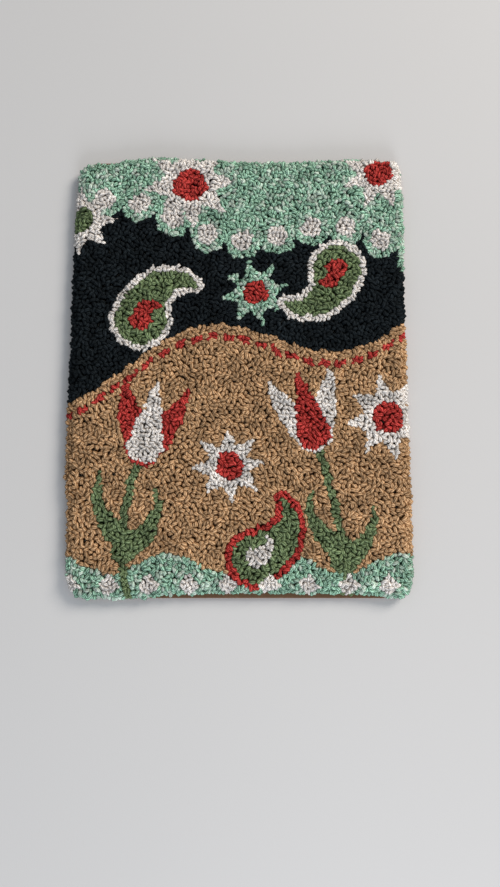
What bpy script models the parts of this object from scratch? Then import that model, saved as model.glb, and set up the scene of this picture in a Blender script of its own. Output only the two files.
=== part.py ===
"""Punch needle wall piece: looped yarn punched into a ground cloth that is glued to a hardboard panel.

It lies on its back. Units are metres, +Z is up and out of the pile, +Y runs to the top of the
piece, and the origin is the middle of the panel's back face.
Run it with: blender --background --python part.py
"""

import math
import random

import bmesh
import bpy

MM = 0.001

# The hardboard panel
PANEL_WIDTH = 210 * MM
PANEL_HEIGHT = 280 * MM
PANEL_THICKNESS = 3 * MM
PANEL_CORNER = 14 * MM
PANEL_EDGE_BREAK = 0.25 * MM

# The ground cloth, cut close to the punching, so that the rim loops splay over its edge
CLOTH_INSET = 4 * MM
CLOTH_THICKNESS = 1.2 * MM

# Clearance between pieces that touch on the real thing
SEAT_GAP = 0.3 * MM

# The looped pile
PILE_HEIGHT = 6 * MM
LUMP_SPACING = 5 * MM
LUMP_HEIGHT = 0.5 * MM
LOBES_PER_CELL = 3
LOBE_DEPTH = 1.0 * MM
LOBE_JITTER = 0.3 * MM
SEED = 11

# Heights above the back of the panel
CLOTH_BOTTOM = PANEL_THICKNESS + SEAT_GAP
CLOTH_TOP = CLOTH_BOTTOM + CLOTH_THICKNESS
PILE_BOTTOM = CLOTH_TOP + SEAT_GAP
PILE_TOP = PILE_BOTTOM + PILE_HEIGHT

# The rim's section, from the shoulder down to where the loops hang over the cloth's edge
RIM_SECTION = (
    # (inset from the outline, height)
    (2.8 * MM, PILE_TOP),
    (0.7 * MM, PILE_TOP - 1.6 * MM),
    (0.0, PILE_TOP - 3.8 * MM),
    (0.9 * MM, CLOTH_BOTTOM),
)

# How far the rim reaches past the panel's edge, uneven as punched by hand. Each row is
# (place along the side from -1 to 1, upwards or to the right, reach).
RIM_REACH = {
    "left": (
        (-1.00, -0.2 * MM), (-0.80, 0.4 * MM), (-0.65, 0.3 * MM), (-0.45, 2.6 * MM), (-0.30, 2.6 * MM),
        (-0.10, 1.9 * MM), (0.30, 1.4 * MM), (0.80, 0.7 * MM), (1.00, -0.6 * MM),
    ),
    "right": (
        (-1.00, 0.2 * MM), (-0.85, 0.9 * MM), (-0.50, 1.2 * MM), (-0.20, 0.5 * MM), (0.30, 0.3 * MM),
        (0.80, 0.8 * MM), (1.00, -0.5 * MM),
    ),
    "top": (
        (-1.00, -2.4 * MM), (-0.85, -2.2 * MM), (-0.66, 1.4 * MM), (-0.50, 2.4 * MM), (-0.30, 1.2 * MM),
        (0.00, -0.5 * MM), (0.35, -0.7 * MM), (0.60, 0.5 * MM), (0.85, 1.0 * MM), (1.00, 0.2 * MM),
    ),
    "bottom": (
        (-1.00, 0.6 * MM), (-0.80, 1.1 * MM), (-0.62, 0.5 * MM), (-0.34, -1.6 * MM), (-0.10, -2.8 * MM),
        (0.25, -2.7 * MM), (0.45, -1.9 * MM), (0.62, -2.4 * MM), (0.80, -1.5 * MM), (0.92, 0.6 * MM),
        (1.00, 0.3 * MM),
    ),
}

# Corner radius of the pile, by the signs of its x and y
PILE_CORNERS = {(-1, 1): 9 * MM, (1, 1): 6 * MM, (1, -1): 8.5 * MM, (-1, -1): 14 * MM}


def clear_scene():
    for obj in list(bpy.data.objects):
        bpy.data.objects.remove(obj)


def material(name, colour, roughness):
    """A plain finish: colour is linear red, green and blue."""
    made = bpy.data.materials.new(name)
    made.use_nodes = True
    shader = made.node_tree.nodes["Principled BSDF"]
    shader.inputs["Base Color"].default_value = (*colour, 1.0)
    shader.inputs["Roughness"].default_value = roughness
    shader.inputs["Metallic"].default_value = 0.0
    return made


def add_object(name, bm, finish):
    """Turns the bmesh into a named object with its faces pointing out."""
    bmesh.ops.recalc_face_normals(bm, faces=bm.faces)
    mesh = bpy.data.meshes.new(name)
    bm.to_mesh(mesh)
    bm.free()
    mesh.materials.append(finish)
    obj = bpy.data.objects.new(name, mesh)
    bpy.context.scene.collection.objects.link(obj)
    return obj


def square_border(columns, rows):
    """(u, v) of the grid points round the border of the square from -1 to 1, anticlockwise."""
    border = [(2 * i / columns - 1, -1) for i in range(columns)]
    border += [(1, 2 * j / rows - 1) for j in range(rows)]
    border += [(1 - 2 * i / columns, 1) for i in range(columns)]
    border += [(-1, 1 - 2 * j / rows) for j in range(rows)]
    return border


def rounded(u, v, half_width, half_height, radius):
    """Maps (u, v) on the border of the square from -1 to 1 onto a rounded rectangle."""
    x = u * half_width
    y = v * half_height
    over_x = abs(x) - (half_width - radius)
    over_y = abs(y) - (half_height - radius)
    if over_x <= 0 or over_y <= 0:
        return x, y
    shrink = radius / math.hypot(over_x, over_y)
    return (
        math.copysign(half_width - radius + over_x * shrink, x),
        math.copysign(half_height - radius + over_y * shrink, y),
    )


def eased(table, place):
    """Reads a table of (place, value) rows with smooth steps between them."""
    for (a, low), (b, high) in zip(table, table[1:]):
        if place <= b:
            share = (place - a) / (b - a)
            return low + (high - low) * share * share * (3 - 2 * share)
    return table[-1][1]


def pile_outline(u, v, inset):
    """The pile's outline at (u, v) on the border of the square from -1 to 1, drawn in by inset."""
    reach_x = eased(RIM_REACH["right" if u > 0 else "left"], v) - inset
    reach_y = eased(RIM_REACH["top" if v > 0 else "bottom"], u) - inset
    radius = PILE_CORNERS[(1 if u > 0 else -1, 1 if v > 0 else -1)] - inset
    return rounded(u, v, PANEL_WIDTH / 2 + reach_x, PANEL_HEIGHT / 2 + reach_y, radius)


def rounded_rectangle(width, height, radius, corner_steps=6):
    """The corner arcs of a rounded rectangle, anticlockwise from the lower right."""
    outline = []
    for corner, (sx, sy) in enumerate(((1, -1), (1, 1), (-1, 1), (-1, -1))):
        for step in range(corner_steps + 1):
            angle = math.radians(90) * (corner - 1 + step / corner_steps)
            x = sx * (width / 2 - radius) + radius * math.cos(angle)
            y = sy * (height / 2 - radius) + radius * math.sin(angle)
            outline.append((x, y))
    return outline


def plate(name, outline, bottom, thickness, finish):
    """A flat plate of that outline that stands at z = bottom."""
    bm = bmesh.new()
    face = bm.faces.new([bm.verts.new((x, y, bottom)) for x, y in outline])
    raised = bmesh.ops.extrude_face_region(bm, geom=[face])["geom"]
    top = [vert for vert in raised if isinstance(vert, bmesh.types.BMVert)]
    bmesh.ops.translate(bm, vec=(0, 0, thickness), verts=top)
    return add_object(name, bm, finish)


def break_edges(obj, width):
    """A small bevel round a plate's two faces."""
    bevel = obj.modifiers.new("edge break", "BEVEL")
    bevel.width = width
    bevel.segments = 1
    bevel.limit_method = "ANGLE"
    bevel.angle_limit = math.radians(60)


def join_rings(bm, ring, finer):
    """Faces between a ring and one with a whole number of times as many points."""
    ratio = len(finer) // len(ring)
    for k, vert in enumerate(ring):
        following = ring[(k + 1) % len(ring)]
        lower = [finer[(ratio * k + step) % len(finer)] for step in range(ratio + 1)]
        if ratio == 1:
            bm.faces.new((vert, lower[0], lower[1], following))
            continue
        turn = ratio // 2
        for step in range(ratio):
            bm.faces.new((vert if step < turn else following, lower[step], lower[step + 1]))
        bm.faces.new((vert, lower[turn], following))


def pile_top(bm, columns, rows, dice):
    """The lumpy top as a grid of vertices, each drawn in towards the middle from the shoulder."""
    inset, height = RIM_SECTION[0]
    grid = {}
    for i in range(columns + 1):
        for j in range(rows + 1):
            u = 2 * i / columns - 1
            v = 2 * j / rows - 1
            share = max(abs(u), abs(v))
            x, y = pile_outline(u / share, v / share, inset) if share > 0 else (0, 0)
            lump = dice.uniform(-1, 1) * LUMP_HEIGHT
            grid[i, j] = bm.verts.new((x * share, y * share, height + lump))
    for i in range(columns):
        for j in range(rows):
            bm.faces.new((grid[i, j], grid[i + 1, j], grid[i + 1, j + 1], grid[i, j + 1]))
    return grid


def looped_pile(columns, rows, finish):
    """The pile as one lumpy slab. Its rim is lobed where the loops splay over the cloth's edge."""
    dice = random.Random(SEED)
    coarse = square_border(columns, rows)
    fine = square_border(LOBES_PER_CELL * columns, LOBES_PER_CELL * rows)
    bm = bmesh.new()
    grid = pile_top(bm, columns, rows, dice)
    shoulder = [grid[round((u + 1) / 2 * columns), round((v + 1) / 2 * rows)] for u, v in coarse]

    rim = []
    for inset, height in RIM_SECTION[1:]:
        ring = []
        for k, (u, v) in enumerate(fine):
            lobe = (k % 2) * LOBE_DEPTH + dice.uniform(-1, 1) * LOBE_JITTER
            ring.append(bm.verts.new((*pile_outline(u, v, inset + lobe), height)))
        rim.append(ring)

    # The underside has a recess that fits over the cloth
    recess = []
    for height in (CLOTH_BOTTOM, PILE_BOTTOM):
        outline = [pile_outline(u, v, CLOTH_INSET - SEAT_GAP) for u, v in coarse]
        recess.append([bm.verts.new((x, y, height)) for x, y in outline])

    join_rings(bm, shoulder, rim[0])
    for upper, lower in zip(rim, rim[1:]):
        join_rings(bm, upper, lower)
    join_rings(bm, recess[0], rim[-1])
    join_rings(bm, recess[0], recess[1])
    bm.faces.new(recess[1])
    add_object("looped_pile", bm, finish)


def main():
    clear_scene()
    hardboard = material("hardboard", (0.19, 0.105, 0.055), 0.75)
    cotton = material("ground_cotton", (0.62, 0.56, 0.46), 0.95)
    yarn = material("looped_yarn", (0.38, 0.22, 0.11), 0.95)
    columns = 2 * round(PANEL_WIDTH / LUMP_SPACING / 2)
    rows = 2 * round(PANEL_HEIGHT / LUMP_SPACING / 2)
    panel_outline = rounded_rectangle(PANEL_WIDTH, PANEL_HEIGHT, PANEL_CORNER)
    panel = plate("backing_panel", panel_outline, 0.0, PANEL_THICKNESS, hardboard)
    break_edges(panel, PANEL_EDGE_BREAK)
    cloth_outline = [pile_outline(u, v, CLOTH_INSET) for u, v in square_border(columns, rows)]
    plate("ground_cloth", cloth_outline, CLOTH_BOTTOM, CLOTH_THICKNESS, cotton)
    looped_pile(columns, rows, yarn)


main()
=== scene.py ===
"""The looks of a punch needle wall piece: yarn loops in a ground cloth on a hardboard panel.

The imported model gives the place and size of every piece. Units are metres, or millimetres where
a value is multiplied by MM. +Z is up and out of the pile, and +Y runs to the top of the piece.
"""

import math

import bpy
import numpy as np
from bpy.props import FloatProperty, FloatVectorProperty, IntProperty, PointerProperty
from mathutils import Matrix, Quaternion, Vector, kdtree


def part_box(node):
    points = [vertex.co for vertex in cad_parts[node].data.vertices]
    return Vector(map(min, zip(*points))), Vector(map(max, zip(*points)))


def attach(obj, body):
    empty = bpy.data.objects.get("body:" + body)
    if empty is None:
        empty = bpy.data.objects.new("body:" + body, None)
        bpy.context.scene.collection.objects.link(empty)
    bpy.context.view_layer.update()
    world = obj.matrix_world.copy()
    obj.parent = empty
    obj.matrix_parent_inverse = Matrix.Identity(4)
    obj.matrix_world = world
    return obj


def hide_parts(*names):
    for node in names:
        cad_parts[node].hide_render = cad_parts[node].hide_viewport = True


bl_info = {
    "name": "Punch needle wall piece",
    "version": (1, 0, 0),
    "blender": (4, 5, 0),
    "location": "3D View > Sidebar > Wall Piece",
    "description": "Makes the yarn loops, ground cloth, hardboard and studio of a punch needle wall piece",
    "category": "Object",
}

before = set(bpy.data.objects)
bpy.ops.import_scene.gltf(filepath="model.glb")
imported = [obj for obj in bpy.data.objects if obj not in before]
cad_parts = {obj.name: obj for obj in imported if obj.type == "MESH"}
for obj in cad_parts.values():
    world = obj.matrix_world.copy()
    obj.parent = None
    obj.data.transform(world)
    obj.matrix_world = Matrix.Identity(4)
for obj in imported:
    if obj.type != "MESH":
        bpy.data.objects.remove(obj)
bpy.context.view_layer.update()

MM = 0.001
UP = Vector((0, 0, 1))
PANEL_LOW, PANEL_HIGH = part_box("backing_panel")
CLOTH_LOW, CLOTH_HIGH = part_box("ground_cloth")
PILE_LOW, PILE_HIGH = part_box("looped_pile")

# The yarns, in the order in which the chart numbers them
YARNS = ("tan", "black", "mint", "white", "green", "red")

# How the loops of each yarn differ: how thick the yarn is against the coarse one, how unlike in
# brightness its loops are, how strong the painted sheen of pale fibres on its crowns is, how many of its
# loops are pale all over, how far the loops lean over in degrees, and its darker colour in the
# grooves, on the sides and down the legs, which is painted shade
YARN_HANDS = {
    "tan": dict(fineness=1.00, unevenness=0.46, crown_sheen=0.28, marl=0.00, sway=15, deep=(0.145, 0.058, 0.015)),
    "black": dict(fineness=1.00, unevenness=0.60, crown_sheen=0.01, marl=0.00, sway=16, deep=(0.003, 0.0045, 0.006)),
    "mint": dict(fineness=0.94, unevenness=0.40, crown_sheen=0.38, marl=0.40, sway=18, deep=(0.010, 0.034, 0.010)),
    "white": dict(fineness=0.90, unevenness=0.16, crown_sheen=0.30, marl=0.00, sway=18, deep=(0.38, 0.32, 0.27)),
    "green": dict(fineness=1.02, unevenness=0.42, crown_sheen=0.18, marl=0.00, sway=18, deep=(0.024, 0.040, 0.010)),
    "red": dict(fineness=1.00, unevenness=0.36, crown_sheen=0.10, marl=0.00, sway=19, deep=(0.130, 0.003, 0.002)),
}

# The pale colour of the loops that are pale all over, and of the painted sheen where fine fibres stand off the
# yarn's crowns
PALE_AND_SHEEN = (0.88, 0.86, 0.83, 1.0)

# Loops in one piece, at most, so that its mesh stays light
PIECE_LOOPS = 2350

# Spreading the loops over the cloth
CELL = 0.5 * MM
NEAREST = 0.76
JITTER = 0.28 * MM
ROOT_DEPTH = 0.4 * MM
EVENING_ROUNDS = 7
SEED = 7

# How the loops at the rim splay over the cloth's edge
OVERHANG = 4.1 * MM
SPLAY_WIDTH = 9 * MM
SPLAY_ANGLE = 76
RIM_ROW = 2.5 * MM
RIM_SPLAY = 0.6

# Sides of the yarn's section
SIDES = 6


class YarnColours(bpy.types.PropertyGroup):
    """The colours that the yarns are dyed."""

    tan: FloatVectorProperty(
        name="Tan", description="Dye of the tan yarn of the ground", subtype="COLOR", min=0, max=1,
        default=(0.545, 0.313, 0.133),
    )
    black: FloatVectorProperty(
        name="Black", description="Dye of the black yarn", subtype="COLOR", min=0, max=1,
        default=(0.010, 0.0145, 0.018),
    )
    mint: FloatVectorProperty(
        name="Mint", description="Dye of the mint yarn", subtype="COLOR", min=0, max=1,
        default=(0.31, 0.62, 0.445),
    )
    white: FloatVectorProperty(
        name="White", description="Dye of the white yarn", subtype="COLOR", min=0, max=1,
        default=(0.94, 0.91, 0.89),
    )
    green: FloatVectorProperty(
        name="Green", description="Dye of the green yarn", subtype="COLOR", min=0, max=1,
        default=(0.148, 0.225, 0.088),
    )
    red: FloatVectorProperty(
        name="Red", description="Dye of the red yarn", subtype="COLOR", min=0, max=1,
        default=(0.53, 0.032, 0.025),
    )


class LoopSizes(bpy.types.PropertyGroup):
    """The sizes of the loops that the needle leaves."""

    spacing: FloatProperty(
        name="Spacing", description="Mean distance between loops of the coarse yarn", subtype="DISTANCE",
        unit="LENGTH", default=2.75 * MM, min=1.5 * MM, max=8 * MM, precision=5,
    )
    width: FloatProperty(
        name="Width", description="Distance between the two legs of a loop", subtype="DISTANCE",
        unit="LENGTH", default=1.15 * MM, min=0.5 * MM, max=6 * MM, precision=5,
    )
    height: FloatProperty(
        name="Height", description="Height of a loop's middle line above the cloth", subtype="DISTANCE",
        unit="LENGTH", default=5.4 * MM, min=1 * MM, max=20 * MM, precision=5,
    )
    yarn_radius: FloatProperty(
        name="Yarn radius", description="Radius of the coarse yarn at the top of a loop", subtype="DISTANCE",
        unit="LENGTH", default=1.40 * MM, min=0.2 * MM, max=4 * MM, precision=5,
    )
    plies: IntProperty(name="Plies", description="Strands twisted into the yarn", default=6, min=2, max=8)
    groove: FloatProperty(
        name="Groove", description="Depth of the grooves between plies", subtype="DISTANCE",
        unit="LENGTH", default=0.45 * MM, min=0, max=2 * MM, precision=5,
    )
    twist: FloatProperty(
        name="Twist", description="How far the plies turn along one loop", subtype="ANGLE",
        unit="ROTATION", default=math.radians(330),
    )
    steps: IntProperty(name="Steps", description="Lengths of yarn in a loop", default=8, min=4, max=24)


class BoardSettings(bpy.types.PropertyGroup):
    """The finish of the hardboard panel and of the cloth on it."""

    board: FloatVectorProperty(
        name="Hardboard", description="Colour of the panel", subtype="COLOR", min=0, max=1,
        default=(0.20, 0.105, 0.055),
    )
    screen: FloatProperty(
        name="Screen pitch", description="Pitch of the mesh pressed into the panel's back",
        subtype="DISTANCE", unit="LENGTH", default=1.6 * MM, min=0.5 * MM, max=5 * MM, precision=5,
    )
    cloth: FloatVectorProperty(
        name="Cloth", description="Colour of the ground cloth", subtype="COLOR", min=0, max=1,
        default=(0.62, 0.56, 0.46),
    )
    thread: FloatProperty(
        name="Thread pitch", description="Pitch of the ground cloth's paired threads",
        subtype="DISTANCE", unit="LENGTH", default=2.0 * MM, min=0.3 * MM, max=6 * MM, precision=5,
    )


class StudioSettings(bpy.types.PropertyGroup):
    """The floor, the lights and the camera."""

    floor: FloatVectorProperty(
        name="Floor", description="Colour of the floor", subtype="COLOR", min=0, max=1,
        default=(0.60, 0.60, 0.61),
    )
    key: FloatProperty(
        name="Key light", description="Power of the warm light on the right", subtype="POWER",
        unit="POWER", default=32.5, min=0,
    )
    fill: FloatProperty(
        name="Fill light", description="Power of the cool light in front", subtype="POWER",
        unit="POWER", default=5.5, min=0,
    )
    sky: FloatProperty(
        name="Sky", description="Strength of the even light from all sides", default=0.42, min=0,
    )
    lens: FloatProperty(
        name="Lens", description="Focal length on a 36 mm sensor", subtype="DISTANCE_CAMERA",
        default=29.14, min=5, max=300,
    )
    tilt: FloatProperty(
        name="Tilt", description="How far the camera leans back from looking straight down",
        subtype="ANGLE", unit="ROTATION", default=math.radians(7.45),
    )
    place: FloatVectorProperty(
        name="Place", description="Place of the camera", subtype="TRANSLATION", unit="LENGTH",
        default=(6.8 * MM, -103.5 * MM, 446.6 * MM), precision=4,
    )


class Wire:
    """An output socket. Python arithmetic on it adds Math nodes to its tree."""

    def __init__(self, graph, socket):
        self.graph = graph
        self.socket = socket

    def __add__(self, other):
        return self.graph.math("ADD", self, other)

    def __mul__(self, other):
        return self.graph.math("MULTIPLY", self, other)

    __radd__ = __add__
    __rmul__ = __mul__

    def __sub__(self, other):
        return self.graph.math("SUBTRACT", self, other)

    def __rsub__(self, other):
        return self.graph.math("SUBTRACT", other, self)

    def __pow__(self, other):
        return self.graph.math("POWER", self, other)

    def fraction(self):
        """What is left of it after the decimal point."""
        return self.graph.math("FRACT", self)


class Graph:
    """Adds nodes to one material or geometry tree."""

    def __init__(self, tree):
        self.tree = tree
        self.tree.nodes.clear()

    def add(self, kind, settings=None, sockets=None, out=0):
        """A node of that kind: its settings go first, then the values or links of its sockets."""
        node = self.tree.nodes.new(kind)
        for name, value in (settings or {}).items():
            setattr(node, name, value)
        for key, value in (sockets or {}).items():
            for one in value if isinstance(value, list) else [value]:
                if isinstance(one, Wire):
                    self.tree.links.new(one.socket, node.inputs[key])
                else:
                    node.inputs[key].default_value = one
        return Wire(self, node.outputs[out]) if node.outputs else node

    def math(self, operation, *values):
        return self.add("ShaderNodeMath", {"operation": operation}, dict(enumerate(values)))

    def clamped(self, value, low, high):
        """0 where the value is at low, 1 at high, and in between by share."""
        sockets = {"Value": value, "From Min": low, "From Max": high}
        return self.add("ShaderNodeMapRange", {"clamp": True}, sockets)

    def mix(self, factor, first, second, blend="MIX"):
        """The second colour laid over the first by the factor."""
        settings = {"data_type": "RGBA", "blend_type": blend}
        return self.add("ShaderNodeMix", settings, {0: factor, 6: first, 7: second}, out=2)

    def split(self, vector):
        """The x, y and z of a vector."""
        first = self.add("ShaderNodeSeparateXYZ", None, {0: vector})
        outputs = first.socket.node.outputs
        return [Wire(self, outputs[axis]) for axis in ("X", "Y", "Z")]

    def noise(self, vector, scale, detail=2.0, roughness=0.5):
        """Noise from 0 to 1 with grains of 1 / scale metres."""
        sockets = {"Vector": vector, "Scale": scale, "Detail": detail, "Roughness": roughness}
        return self.add("ShaderNodeTexNoise", None, sockets)


def rgba(colour, gain=1.0):
    """A colour property with its alpha, brightened or darkened by gain."""
    return (*(min(1.0, channel * gain) for channel in colour), 1.0)


def new_material(name):
    """An empty material and its graph."""
    material = bpy.data.materials.new(name)
    material.use_nodes = True
    return material, Graph(material.node_tree)


def finish_material(graph, colour, roughness, height, relief, gloss=0.25):
    """Ends a material: relief is how deep in metres the height from 0 to 1 reads."""
    sockets = {"Height": height, "Distance": relief, "Strength": 1.0}
    normal = graph.add("ShaderNodeBump", None, sockets)
    shader = graph.add("ShaderNodeBsdfPrincipled", None, {
        "Base Color": colour, "Roughness": roughness, "Normal": normal,
        "Specular IOR Level": gloss,
    })
    graph.add("ShaderNodeOutputMaterial", None, {"Surface": shader})


def yarn_material(name, dye, hand, sizes):
    """Plied yarn: grooves between its plies, fine fibres along it and loops of unlike brightness, with painted
    shade in the grooves and down its sides and legs, and a painted sheen on its crowns.
    """
    material, graph = new_material(name)
    ring = graph.add("ShaderNodeAttribute", {"attribute_name": "ring"}, None, "Vector")
    along = graph.add("ShaderNodeAttribute", {"attribute_name": "along"}, None, "Fac")
    shade = graph.add("ShaderNodeAttribute", {"attribute_name": "shade"}, None, "Fac")
    lift = graph.add("ShaderNodeAttribute", {"attribute_name": "lift"}, None, "Fac")
    ring_x, ring_y, _ = graph.split(ring)
    around = graph.math("ARCTAN2", ring_y, ring_x)
    ply = graph.math("ABSOLUTE", graph.math("SINE", around * (sizes.plies / 2)))
    lengthwise = along * 2 + shade * 60
    drawn = graph.add("ShaderNodeCombineXYZ", None, {"X": ring_x, "Y": ring_y, "Z": lengthwise})
    fibre = graph.noise(drawn, 6.0, 4.0, 0.7)
    height = ply * 0.6 + fibre * 0.4

    place = graph.add("ShaderNodeTexCoord", None, None, "Object")
    patch = graph.noise(place, 130.0, 2.0) * 1.5 + 0.25
    tone = ((shade * 7.3).fraction() * hand["unevenness"] + (1 - hand["unevenness"] / 2)) * patch
    # top: 1 where the yarn faces up near a loop's crown, 0 down its sides and legs; it sets where painted light
    # and shade go
    top = graph.clamped(lift, -0.15, 0.75) * graph.clamped(graph.math("ABSOLUTE", along - 0.5), 0.33, 0.10)
    # Darker in the grooves between plies and down the sides and legs: painted shade; the fibre noise in it is the
    # yarn's own random tone
    fibre_tone_and_shade = (ply * 1.1 + 0.08) * (fibre * 0.7 + 0.65) * (top * 0.85 + 0.15)
    # Where that factor is low the colour goes to the yarn's darker deep colour, which is painted shade
    colour = graph.mix(fibre_tone_and_shade, rgba(hand["deep"]), rgba(dye))
    colour = graph.mix(graph.clamped(shade, 0.6, 0.9) * hand["marl"], colour, PALE_AND_SHEEN)
    # Pale fibres brighten the plies' crests where the yarn faces up: a painted sheen
    colour = graph.mix(ply * fibre * top * hand["crown_sheen"], colour, PALE_AND_SHEEN)
    light = graph.add("ShaderNodeCombineColor", None, {"Red": tone, "Green": tone, "Blue": tone})
    colour = graph.mix(1.0, colour, light, "MULTIPLY")
    finish_material(graph, colour, 0.95, height, sizes.groove, gloss=0.05)
    return material


def hardboard_material(settings):
    """Brown hardboard: smooth in front, a pressed mesh at its back and fibres at its cut edge."""
    material, graph = new_material("hardboard")
    place = graph.add("ShaderNodeTexCoord", None, None, "Object")
    x, y, z = graph.split(place)
    wave = 2 * math.pi / settings.screen
    ridge_x = graph.math("ABSOLUTE", graph.math("SINE", x * (wave / 2)))
    ridge_y = graph.math("ABSOLUTE", graph.math("SINE", y * (wave / 2)))
    screen = graph.math("MINIMUM", ridge_x, ridge_y)
    back = 1 - graph.clamped(z, 0.05 * MM, 0.2 * MM)
    grain = graph.noise(place, 900.0, 4.0, 0.6)
    stretch = graph.add("ShaderNodeMapping", None, {"Vector": place, "Scale": (1.0, 1.0, 9.0)})
    fibres = graph.noise(stretch, 700.0, 3.0, 0.7)
    front = graph.clamped(z, PANEL_HIGH.z - 0.2 * MM, PANEL_HIGH.z - 0.05 * MM)
    edge = 1 - graph.math("MAXIMUM", back, front)
    dark = graph.mix(grain, rgba(settings.board, 0.62), rgba(settings.board, 1.25))
    pale = graph.mix(fibres, rgba(settings.board, 0.8), rgba(settings.board, 2.0))
    colour = graph.mix(edge, dark, pale)
    # The back darkens along the dents of the pressed mesh: painted shade
    colour = graph.mix(back * (1 - screen) * 0.6, colour, rgba(settings.board, 0.45))
    height = graph.math("MAXIMUM", grain * 0.2, back * screen) + edge * fibres * 0.6
    roughness = 0.5 + (1 - front) * 0.35
    finish_material(graph, colour, roughness, height, 0.25 * MM)
    return material


def cloth_material(settings):
    """The ground cloth: a basket weave of paired threads with small holes between them."""
    material, graph = new_material("ground_cotton")
    place = graph.add("ShaderNodeTexCoord", None, None, "Object")
    x, y, _ = graph.split(place)
    wave = 2 * math.pi / settings.thread
    warp = graph.math("SINE", x * wave)
    weft = graph.math("SINE", y * wave)
    over = graph.clamped(warp * weft, -0.25, 0.25)
    twin_warp = graph.math("ABSOLUTE", graph.math("SINE", x * wave))
    twin_weft = graph.math("ABSOLUTE", graph.math("SINE", y * wave))
    threads = over * twin_warp + (1 - over) * twin_weft
    fibre = graph.noise(place, 2500.0, 3.0, 0.6)
    # Dark down the threads' sides and in the holes between them, light on their crowns: painted shade and light
    colour = graph.mix(threads, rgba(settings.cloth, 0.45), rgba(settings.cloth, 1.1))
    colour = graph.mix(fibre * 0.35, colour, rgba(settings.cloth, 0.7))
    finish_material(graph, colour, 0.95, threads * 0.8 + fibre * 0.2, 0.4 * MM)
    return material


def floor_material(colour):
    """A plain pale matte floor."""
    material, graph = new_material("studio_floor")
    place = graph.add("ShaderNodeTexCoord", None, None, "Object")
    cloud = graph.noise(place, 3.0, 1.0)
    tint = graph.mix(cloud, rgba(colour, 0.97), rgba(colour, 1.03))
    grain = graph.noise(place, 1500.0, 2.0)
    finish_material(graph, tint, 0.9, grain, 0.05 * MM)
    return material


# Where the waves of the chart run, in millimetres from the panel's middle
FOOT = dict(level=16, height=17, length=185, shift=-70, slope=0.20)
TOP = dict(level=92, height=9, length=140, shift=30, slope=-0.13)
HEM = dict(level=-119, height=6, length=70, shift=10)

SCALLOP_PITCH = 22
SCALLOPS = 11
DASH_PITCH = 10
LOZENGE_PITCH = 24
WOBBLE = 0.45
LOZENGES = 9
STEM_FOOT = -142
STEM_BEND = -95

STARS = (
    # x, y, outer radius, turn, body, core
    (-32, 122, 30, 6, "white", "red"),
    (90, 130, 25, 22, "white", "red"),
    (-102, 98, 24, 0, "white", "green"),
    (92, -30, 27, 10, "white", "red"),
    (-6, -60, 23, 4, "white", "red"),
    (10, 50, 22, 12, "mint", "red"),
)

PAISLEYS = (
    # x, y, width, length, turn, curl, outline, body, heart
    (-62, 32, 32, 54, 82, -125, "white", "green", "red"),
    (62, 66, 30, 52, 262, -120, "white", "green", "red"),
    (10, -116, 29, 50, 20, 115, "red", "green", "white"),
)

TULIPS = (
    # x, y, size, turn, petals, heart, x of the stem's foot, x of its bend
    (-58, -48, 46, 80, "red", "white", -66, -78),
    (46, -40, 44, 104, "white", "red", 66, 64),
)

LEAVES = (
    # x, y, width, length, turn, curl
    (-70, -104, 15, 50, 142, -85),
    (-70, -112, 15, 50, 30, 85),
    (62, -110, 15, 46, 152, -90),
    (62, -118, 15, 44, 30, 75),
)


class Chart:
    """The design as the number of a yarn in each small cell of the cloth, in millimetres."""

    def __init__(self):
        columns = np.arange(PILE_LOW.x, PILE_HIGH.x, CELL)
        rows = np.arange(PILE_LOW.y, PILE_HIGH.y, CELL)
        self.places = np.meshgrid(columns, rows)
        x, y = (axis / MM for axis in self.places)
        self.x = x + WOBBLE * (np.sin(y / 3.1 + x / 9) + np.sin(y / 1.3))
        self.y = y + WOBBLE * (np.sin(x / 2.9 - y / 8) + np.sin(x / 1.2))
        self.yarn = np.zeros(self.x.shape, int)

    def paint(self, where, yarn):
        self.yarn[where] = YARNS.index(yarn)

    def bare(self):
        """Where only the ground's yarn is charted yet."""
        return self.yarn == 0

    def disc(self, x, y, radius):
        return np.hypot(self.x - x, self.y - y) < radius

    def lozenge(self, x, y, half):
        return np.abs(self.x - x) + np.abs(self.y - y) < half

    def star(self, x, y, outer, turn, points=8, waist=0.56):
        """A star of straight-sided points, whose notches lie at waist times the outer radius."""
        half = math.pi / points
        around = np.arctan2(self.y - y, self.x - x) - math.radians(turn)
        fold = np.abs((around + half) % (2 * half) - half)
        reach = np.hypot(self.x - x, self.y - y)
        across = reach * np.sin(fold)
        short = reach * np.cos(fold) - outer
        notch_across = outer * waist * math.sin(half)
        notch_short = outer * (waist * math.cos(half) - 1)
        return notch_short * across - notch_across * short > 0

    def drop(self, x, y, width, length, turn, curl, grow=0.0, steps=28):
        """A tapering drop whose tip curls away, as discs that shrink along its path."""
        nearest = np.full(self.x.shape, np.inf)
        for step in range(steps):
            share = step / (steps - 1)
            radius = width / 2 * (1 - share) ** 0.8
            nearest = np.minimum(nearest, np.hypot(self.x - x, self.y - y) - radius)
            heading = math.radians(turn + curl * share ** 1.3)
            x += length / steps * math.cos(heading)
            y += length / steps * math.sin(heading)
        return nearest < grow


def wave(x, level, height, length, shift, slope=0.0):
    """The height of a wavy line at x."""
    return level + height * np.sin(2 * math.pi * (x - shift) / length) + slope * x


def chart_bands(chart):
    """The black field and the scalloped mint band over it."""
    top = wave(chart.x, **TOP)
    chart.paint(chart.y > wave(chart.x, **FOOT), "black")
    chart.paint(chart.y > top, "mint")
    for k in range(SCALLOPS):
        x = SCALLOP_PITCH * (k - SCALLOPS // 2) + 2
        y = wave(x, **TOP)
        chart.paint(chart.disc(x, y, 11.5) & (chart.y <= top + 1), "mint")
        chart.paint(chart.disc(x, y + 1, 6.8), "white")


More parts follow.
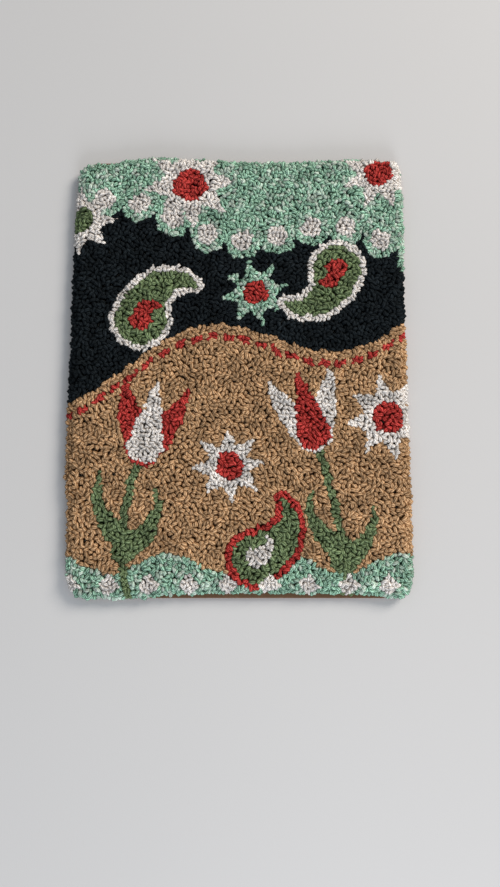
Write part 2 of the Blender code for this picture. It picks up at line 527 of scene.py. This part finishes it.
def chart_motifs(chart):
    """The stars, paisleys, tulips and leaves."""
    for x, y, outer, turn, body, core in STARS:
        chart.paint(chart.star(x, y, outer, turn), body)
        chart.paint(chart.disc(x, y, outer * 0.36), core)
    for x, y, width, length, turn, curl, outline, body, heart in PAISLEYS:
        chart.paint(chart.drop(x, y, width, length, turn, curl, grow=3.8), outline)
        chart.paint(chart.drop(x, y, width, length, turn, curl), body)
        chart.paint(chart.drop(x, y, width * 0.42, length * 0.4, turn, curl), heart)
    for x, y, size, turn, petals, heart, foot_x, bend_x in TULIPS:
        for t in np.linspace(0, 1, 60):
            stem_x = (1 - t) ** 2 * foot_x + 2 * t * (1 - t) * bend_x + t * t * x
            stem_y = (1 - t) ** 2 * STEM_FOOT + 2 * t * (1 - t) * STEM_BEND + t * t * y
            chart.paint(chart.disc(stem_x, stem_y, 2.6), "green")
        for side in (-1, 1):
            chart.paint(chart.drop(x, y, size * 0.52, size * 1.05, turn + 40 * side, -34 * side), petals)
        chart.paint(chart.drop(x, y, size * 0.48, size * 0.95, turn, 0), heart)
    for row in LEAVES:
        chart.paint(chart.drop(*row), "green")


def chart_trims(chart):
    """The mint hem with its lozenges, and the red dashes under the black field."""
    chart.paint((chart.y < wave(chart.x, **HEM)) & chart.bare(), "mint")
    for k in range(LOZENGES):
        chart.paint(chart.lozenge(LOZENGE_PITCH * (k - LOZENGES // 2) - 6, -132, 7), "white")
    dashes = np.abs(chart.y - wave(chart.x, **FOOT) + 8) < 2.0
    chart.paint(dashes & (chart.x % DASH_PITCH < 6.5) & chart.bare(), "red")


def cloth_outline(step, beyond=0.0):
    """The cloth's outline, pushed out by beyond, as points a step apart, and which way is out at each."""
    corners = {tuple(round(c, 6) for c in vert.co[:2]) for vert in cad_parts["ground_cloth"].data.vertices}
    ordered = np.array(sorted(corners, key=lambda corner: math.atan2(corner[1], corner[0])))
    closed = np.vstack((ordered, ordered[:1]))
    reached = np.concatenate(([0], np.cumsum(np.hypot(*np.diff(closed, axis=0).T))))
    places = np.arange(0, reached[-1], step)
    outline = np.column_stack([np.interp(places, reached, closed[:, axis]) for axis in (0, 1)])
    reach = max(1, round(2 * MM / step))
    run = np.roll(outline, -reach, axis=0) - np.roll(outline, reach, axis=0)
    outward = np.column_stack((run[:, 1], -run[:, 0])) / np.hypot(*run.T)[:, None]
    return outline + outward * beyond, outward


def inside(outline, x, y):
    """Which points lie inside the outline."""
    angles = np.arctan2(outline[:, 1], outline[:, 0])
    order = np.argsort(angles)
    reach = np.interp(np.arctan2(y, x), angles[order], np.hypot(*outline[order].T), period=2 * math.pi)
    return np.hypot(x, y) < reach


class Rim:
    """The line that the outermost loops' tops follow."""

    def __init__(self):
        self.outline, self.outward = cloth_outline(0.5 * MM, OVERHANG)
        self.tree = kdtree.KDTree(len(self.outline))
        for index, (x, y) in enumerate(self.outline):
            self.tree.insert((x, y, 0), index)
        self.tree.balance()

    def near(self, x, y):
        """How far (x, y) is inside the rim, and which way is out there."""
        _, index, distance = self.tree.find((x, y, 0))
        return distance, Vector((*self.outward[index], 0))


def scatter(dice, region, spacing):
    """Cells of the region in random order, each kept if no kept one lies within the spacing."""
    reach = int(spacing / CELL)
    offsets = np.arange(-reach, reach + 1)
    near = np.hypot(*np.meshgrid(offsets, offsets)) * CELL < spacing
    free = np.pad(region, reach)
    kept = []
    for j, i in dice.permutation(np.argwhere(region)):
        if free[j + reach, i + reach]:
            kept.append((j, i))
            free[j:j + 2 * reach + 1, i:i + 2 * reach + 1] &= ~near
    return np.array(kept)


def even_out(seeds, cells):
    """Moves each seed to the middle of the cells nearest to it, a few times over."""
    places = [(x, y, 0.0) for x, y in cells]
    for _ in range(EVENING_ROUNDS):
        tree = kdtree.KDTree(len(seeds))
        for index, (x, y) in enumerate(seeds):
            tree.insert((x, y, 0.0), index)
        tree.balance()
        owner = np.array([tree.find(place)[1] for place in places])
        count = np.maximum(1, np.bincount(owner, minlength=len(seeds)))
        middles = [np.bincount(owner, cells[:, axis], len(seeds)) / count for axis in (0, 1)]
        seeds = np.column_stack(middles)
    return seeds


def loop_places(dice, chart, rim, sizes):
    """Where the loops' tops lie for each yarn: arrays of x and y."""
    x, y = chart.places
    on_pile = inside(rim.outline, x, y)
    places = {}
    for number, yarn in enumerate(YARNS):
        region = on_pile & (chart.yarn == number)
        spacing = sizes.spacing * YARN_HANDS[yarn]["fineness"]
        rows, columns = scatter(dice, region, spacing * NEAREST).T
        seeds = np.column_stack((x[rows, columns], y[rows, columns]))
        seeds = even_out(seeds, np.column_stack((x[region], y[region])))
        places[yarn] = seeds + dice.normal(0, JITTER, seeds.shape)
    return places


def stand_loop(dice, x, y, rim, sway, height):
    """How the loop whose top is at (x, y) stands: its root, its rotation and its splay from 0 to 1."""
    distance, outward = rim.near(x, y)
    splay = max(0.0, 1 - distance / SPLAY_WIDTH) ** 1.2
    slack = math.tan(math.radians(sway)) * (1 - 0.6 * splay)
    lean = outward * math.tan(math.radians(SPLAY_ANGLE * splay))
    lean += Vector((dice.normal(0, slack), dice.normal(0, slack), 0))
    along_rim = math.atan2(outward.y, outward.x) + math.pi / 2
    row = math.pi / 2 + 0.7 * math.sin(x / (29 * MM) + 1.3) * math.cos(y / (33 * MM))
    spin = along_rim + dice.normal(0, 0.35) if distance < RIM_ROW else row + dice.normal(0, 0.8)
    stand = UP.rotation_difference(UP + lean) @ Quaternion(UP, spin)
    root = Vector((x, y, CLOTH_HIGH.z - ROOT_DEPTH)) - lean * (height / (UP + lean).length)
    return root, stand.to_euler(), splay


def loop_points(name, dice, places, rim, hand, height):
    """A mesh of bare points, one for each loop, with how each loop stands and looks."""
    mesh = bpy.data.meshes.new(name)
    roots = []
    turns = []
    scales = []
    at_rim = []
    for x, y in places:
        root, turn, splay = stand_loop(dice, x, y, rim, hand["sway"], height)
        width = hand["fineness"] * dice.uniform(0.9, 1.12)
        roots.append(root)
        turns.append(turn)
        at_rim.append(splay > RIM_SPLAY)
        scales.append((width, hand["fineness"] * dice.uniform(0.92, 1.1), dice.uniform(0.92, 1.07) - 0.05 * splay))
    mesh.from_pydata(roots, [], [])
    for attribute, values in (("turn", turns), ("size", scales)):
        layer = mesh.attributes.new(attribute, "FLOAT_VECTOR", "POINT")
        layer.data.foreach_set("vector", np.array(values, np.float32).ravel())
    layer = mesh.attributes.new("shade", "FLOAT", "POINT")
    layer.data.foreach_set("value", dice.uniform(0, 1, len(places)).astype(np.float32))
    forms = dice.integers(0, len(LOOP_SWAYS), len(places)) + len(LOOP_SWAYS) * np.array(at_rim)
    layer = mesh.attributes.new("form", "INT", "POINT")
    layer.data.foreach_set("value", forms.astype(np.int32))
    return mesh


# How far the top of each form of loop is pushed out of its own plane, against the yarn's radius
LOOP_SWAYS = (-0.65, 0.0, 0.7)

# How thick a loop's legs are against its top, first in the middle of the pile, where they are
# packed and fill the space under the tops, and then at the rim, where they show
LOOP_LEGS = (1.9, 1.15)


def yarn_section(graph):
    """The yarn's section, one unit in radius. It keeps its own place, which the finish reads."""
    circle = graph.add("GeometryNodeCurvePrimitiveCircle", None, {"Resolution": SIDES, "Radius": 1.0})
    return graph.add(
        "GeometryNodeStoreNamedAttribute", {"data_type": "FLOAT_VECTOR", "domain": "POINT"},
        {"Geometry": circle, "Name": "ring", "Value": graph.add("GeometryNodeInputPosition")},
    )


def loop_form(graph, section, width, height, radius, twist, steps, sway, legs):
    """One loop: yarn that comes up through the cloth, bends over and goes down again."""
    line = graph.add("GeometryNodeCurvePrimitiveLine")
    line = graph.add("GeometryNodeResampleCurve", None, {"Curve": line, "Count": steps + 1})
    share = graph.add("GeometryNodeSplineParameter")
    line = graph.add(
        "GeometryNodeStoreNamedAttribute", {"data_type": "FLOAT", "domain": "POINT"},
        {"Geometry": line, "Name": "along", "Value": share},
    )
    turn = (share - 0.08 * graph.math("SINE", share * (2 * math.pi))) * math.pi
    cosine = graph.math("COSINE", turn)
    sine = graph.math("SINE", turn)
    x = width * -0.92 * cosine * (1 - cosine * cosine * 0.5)
    y = radius * sway * graph.math("SINE", turn * 2)
    z = height * sine ** 0.5
    place = graph.add("ShaderNodeCombineXYZ", None, {"X": x, "Y": y, "Z": z})
    line = graph.add("GeometryNodeSetPosition", None, {"Geometry": line, "Position": place})
    line = graph.add("GeometryNodeSetCurveTilt", None, {"Curve": line, "Tilt": share * twist})
    swell = graph.math("MINIMUM", sine * 4, 1.0) * (legs - sine * (legs - 1))
    yarn = graph.add(
        "GeometryNodeCurveToMesh", None,
        {"Curve": line, "Profile Curve": section, "Scale": radius * swell},
    )
    yarn = graph.add("GeometryNodeMergeByDistance", None, {"Geometry": yarn, "Distance": 0.01 * MM})
    # How far the yarn's surface faces up; the finish reads it for painted shade on the sides and legs and a
    # painted sheen on the crowns
    _, _, lift = graph.split(graph.add("GeometryNodeInputNormal"))
    yarn = graph.add(
        "GeometryNodeStoreNamedAttribute", {"data_type": "FLOAT", "domain": "POINT"},
        {"Geometry": yarn, "Name": "lift", "Value": lift},
    )
    return graph.add("GeometryNodeSetShadeSmooth", None, {"Geometry": yarn})


LOOP_INPUTS = (
    # name, kind of socket
    ("Loop width", "NodeSocketFloat"),
    ("Loop height", "NodeSocketFloat"),
    ("Yarn radius", "NodeSocketFloat"),
    ("Twist", "NodeSocketFloat"),
    ("Steps", "NodeSocketInt"),
    ("Yarn", "NodeSocketMaterial"),
)


def loop_tree():
    """The tree that stands a loop on every point. Nothing in it is random."""
    tree = bpy.data.node_groups.new("punched_loops", "GeometryNodeTree")
    tree.interface.new_socket("Geometry", in_out="INPUT", socket_type="NodeSocketGeometry")
    for name, kind in LOOP_INPUTS:
        tree.interface.new_socket(name, in_out="INPUT", socket_type=kind)
    tree.interface.new_socket("Geometry", in_out="OUTPUT", socket_type="NodeSocketGeometry")
    graph = Graph(tree)
    points = graph.add("NodeGroupInput")
    outputs = points.socket.node.outputs
    wires = (Wire(graph, outputs[name]) for name, _ in LOOP_INPUTS)
    width, height, radius, twist, steps, yarn = wires
    section = yarn_section(graph)
    forms = [
        loop_form(graph, section, width, height, radius, twist, steps, sway, legs)
        for legs in LOOP_LEGS for sway in LOOP_SWAYS
    ]
    forms = graph.add("GeometryNodeGeometryToInstance", None, {"Geometry": forms})

    def read(name, kind):
        return graph.add("GeometryNodeInputNamedAttribute", {"data_type": kind}, {"Name": name})

    turn = graph.add("FunctionNodeEulerToRotation", None, {"Euler": read("turn", "FLOAT_VECTOR")})
    loops = graph.add("GeometryNodeInstanceOnPoints", None, {
        "Points": points, "Instance": forms, "Pick Instance": True, "Instance Index": read("form", "INT"),
        "Rotation": turn, "Scale": read("size", "FLOAT_VECTOR"),
    })
    loops = graph.add("GeometryNodeRealizeInstances", None, {"Geometry": loops})
    loops = graph.add("GeometryNodeSetMaterial", None, {"Geometry": loops, "Material": yarn})
    graph.add("NodeGroupOutput", None, {"Geometry": loops})
    return tree


def add_object(name, mesh):
    piece = bpy.data.objects.new(name, mesh)
    bpy.context.scene.collection.objects.link(piece)
    return piece


def grow_loops(name, points, tree, values):
    """Runs the loop tree on the points and keeps its result as a plain mesh."""
    carrier = add_object(name + "_points", points)
    modifier = carrier.modifiers.new("loops", "NODES")
    modifier.node_group = tree
    for socket in tree.interface.items_tree:
        if socket.in_out == "INPUT" and socket.name in values:
            modifier[socket.identifier] = values[socket.name]
    graph = bpy.context.evaluated_depsgraph_get()
    mesh = bpy.data.meshes.new_from_object(carrier.evaluated_get(graph), depsgraph=graph)
    carrier.modifiers.remove(modifier)
    bpy.data.objects.remove(carrier)
    mesh.name = name
    return add_object(name, mesh)


def lay_out_yarn(mesh, loops):
    """A UV map that unrolls every loop's yarn into a square of its own."""
    points = len(mesh.vertices)
    ring = np.zeros(points * 3, np.float32)
    along = np.zeros(points, np.float32)
    mesh.attributes["ring"].data.foreach_get("vector", ring)
    mesh.attributes["along"].data.foreach_get("value", along)
    corner = np.zeros(len(mesh.loops), np.int32)
    mesh.loops.foreach_get("vertex_index", corner)
    start = np.zeros(len(mesh.polygons), np.int32)
    mesh.polygons.foreach_get("loop_start", start)
    face = np.repeat(np.arange(len(start)), np.diff(np.append(start, len(corner))))

    around = (np.arctan2(ring[1::3], ring[0::3]) / (2 * math.pi)) % 1
    around = around[corner]
    length = along[corner]
    pole = (length < 0.001) | (length > 0.999)
    known = np.where(pole, np.nan, around)
    first = np.fmin.reduceat(known, start)[face]
    last = np.fmax.reduceat(known, start)[face]
    around = np.where(pole, first, around)
    around = np.where((last - first > 0.5) & (around < 0.5), around + 1, around)

    grid = math.ceil(math.sqrt(loops))
    loop = corner // (points // loops)
    margin = 0.06
    u = (loop % grid + margin + (1 - 2 * margin) * around) / grid
    v = (loop // grid + margin + (1 - 2 * margin) * length) / grid
    layer = mesh.uv_layers.new(name="OFBake")
    layer.data.foreach_set("uv", np.column_stack((u, v)).astype(np.float32).ravel())


def show(piece, slot, *nodes):
    """A finished piece rides on the panel's body and stands for the CAD nodes, which are hidden."""
    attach(piece, "root")
    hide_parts(*nodes)


class WALLPIECE_OT_stage(bpy.types.Operator):
    """Add the floor, the lights and the camera"""

    bl_idname = "wallpiece.stage"
    bl_label = "Studio"

    def execute(self, context):
        studio = context.scene.wall_studio
        half = 2.5
        corners = [(-half, -half, 0), (half, -half, 0), (half, half, 0), (-half, half, 0)]
        mesh = bpy.data.meshes.new("studio_floor")
        mesh.from_pydata(corners, [], [(0, 1, 2, 3)])
        mesh.materials.append(floor_material(studio.floor))
        add_object("studio_floor", mesh)

        lights = (
            # name, place, size, power, colour
            ("key_light", (1.3, 0.95, 1.2), 0.9, studio.key, (1.0, 0.92, 0.82)),
            ("fill_light", (0.2, -1.0, 0.5), 0.5, studio.fill, (0.93, 0.96, 1.0)),
        )
        for name, place, size, power, colour in lights:
            light = bpy.data.lights.new(name, "AREA")
            light.shape = "DISK"
            light.size = size
            light.energy = power
            light.color = colour
            lamp = add_object(name, light)
            lamp.location = place
            lamp.rotation_euler = Vector(place).to_track_quat("Z", "Y").to_euler()

        world = bpy.data.worlds.new("studio_sky")
        world.use_nodes = True
        background = world.node_tree.nodes["Background"]
        background.inputs["Color"].default_value = (0.90, 0.95, 1.0, 1.0)
        background.inputs["Strength"].default_value = studio.sky
        context.scene.world = world
        context.scene.view_settings.view_transform = "Standard"

        camera = bpy.data.cameras.new("camera")
        camera.lens = studio.lens
        camera.clip_start = 0.01
        rig = add_object("camera", camera)
        rig.location = studio.place
        rig.rotation_euler = (studio.tilt, 0, 0)
        context.scene.camera = rig
        return {"FINISHED"}


class WALLPIECE_OT_panel(bpy.types.Operator):
    """Give the hardboard panel its finish"""

    bl_idname = "wallpiece.panel"
    bl_label = "Hardboard panel"

    def execute(self, context):
        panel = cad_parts["backing_panel"]
        hardboard = hardboard_material(context.scene.wall_board)
        for slot in panel.material_slots:
            slot.material = hardboard
        return {"FINISHED"}


class WALLPIECE_OT_cloth(bpy.types.Operator):
    """Lay the ground cloth on the panel"""

    bl_idname = "wallpiece.cloth"
    bl_label = "Ground cloth"

    def execute(self, context):
        dice = np.random.default_rng(SEED)
        edge, _ = cloth_outline(1.2 * MM)
        edge *= 1 + dice.uniform(-0.0025, 0.0015, (len(edge), 1))
        count = len(edge)
        points = [(x, y, z) for z in (CLOTH_LOW.z, CLOTH_HIGH.z) for x, y in edge]
        faces = [tuple(range(count))[::-1], tuple(range(count, 2 * count))]
        faces += [(k, (k + 1) % count, count + (k + 1) % count, count + k) for k in range(count)]
        mesh = bpy.data.meshes.new("ground_cloth_sheet")
        mesh.from_pydata(points, [], faces)
        mesh.materials.append(cloth_material(context.scene.wall_board))
        sheet = add_object("ground_cloth_sheet", mesh)
        show(sheet, "ground_cotton", "ground_cloth")
        nxt = np.roll(edge, -1, axis=0)
        area = abs(float(np.sum(edge[:, 0] * nxt[:, 1] - edge[:, 1] * nxt[:, 0]))) / 2
        return {"FINISHED"}


class WALLPIECE_OT_pile(bpy.types.Operator):
    """Punch the loops of every yarn"""

    bl_idname = "wallpiece.pile"
    bl_label = "Looped pile"

    def execute(self, context):
        sizes = context.scene.wall_loops
        dyes = context.scene.wall_dyes
        dice = np.random.default_rng(SEED)
        chart = Chart()
        chart_bands(chart)
        chart_motifs(chart)
        chart_trims(chart)
        rim = Rim()
        tree = loop_tree()
        for yarn, places in loop_places(dice, chart, rim, sizes).items():
            hand = YARN_HANDS[yarn]
            values = {
                "Loop width": sizes.width,
                "Loop height": sizes.height,
                "Yarn radius": sizes.yarn_radius,
                "Twist": sizes.twist,
                "Steps": sizes.steps,
                "Yarn": yarn_material("yarn_" + yarn, getattr(dyes, yarn), hand, sizes),
            }
            places = places[np.argsort(places[:, 1])]
            parts = math.ceil(len(places) / PIECE_LOOPS)
            for part, rows in enumerate(np.array_split(places, parts), 1):
                name = f"pile_{yarn}_{part}" if parts > 1 else "pile_" + yarn
                points = loop_points(name, dice, rows, rim, hand, sizes.height)
                piece = grow_loops(name, points, tree, values)
                lay_out_yarn(piece.data, len(rows))
                show(piece, "yarn_" + yarn, "looped_pile")
                print(name, len(rows), "loops", sum(len(f.vertices) - 2 for f in piece.data.polygons), "triangles")
        return {"FINISHED"}


class WALLPIECE_PT_sidebar(bpy.types.Panel):
    """Lists the pieces and their sizes in the sidebar"""

    bl_idname = "WALLPIECE_PT_sidebar"
    bl_label = "Wall Piece"
    bl_space_type = "VIEW_3D"
    bl_region_type = "UI"
    bl_category = "Wall Piece"

    def draw(self, context):
        layout = self.layout
        for step in STEPS:
            layout.operator(step.bl_idname)
        for name in SETTINGS:
            box = layout.box()
            group = getattr(context.scene, name)
            for prop in group.bl_rna.properties:
                if prop.identifier not in ("rna_type", "name"):
                    box.prop(group, prop.identifier)


STEPS = (WALLPIECE_OT_stage, WALLPIECE_OT_panel, WALLPIECE_OT_cloth, WALLPIECE_OT_pile)

SETTINGS = {
    "wall_dyes": YarnColours,
    "wall_loops": LoopSizes,
    "wall_board": BoardSettings,
    "wall_studio": StudioSettings,
}


def register():
    for cls in (*SETTINGS.values(), *STEPS, WALLPIECE_PT_sidebar):
        bpy.utils.register_class(cls)
    for name, group in SETTINGS.items():
        setattr(bpy.types.Scene, name, PointerProperty(type=group))


def unregister():
    for name in SETTINGS:
        delattr(bpy.types.Scene, name)
    for cls in (WALLPIECE_PT_sidebar, *reversed(STEPS), *SETTINGS.values()):
        bpy.utils.unregister_class(cls)


def main():
    register()
    bpy.ops.wallpiece.stage()
    bpy.ops.wallpiece.panel()
    bpy.ops.wallpiece.cloth()
    bpy.ops.wallpiece.pile()


if __name__ == "__main__":
    main()
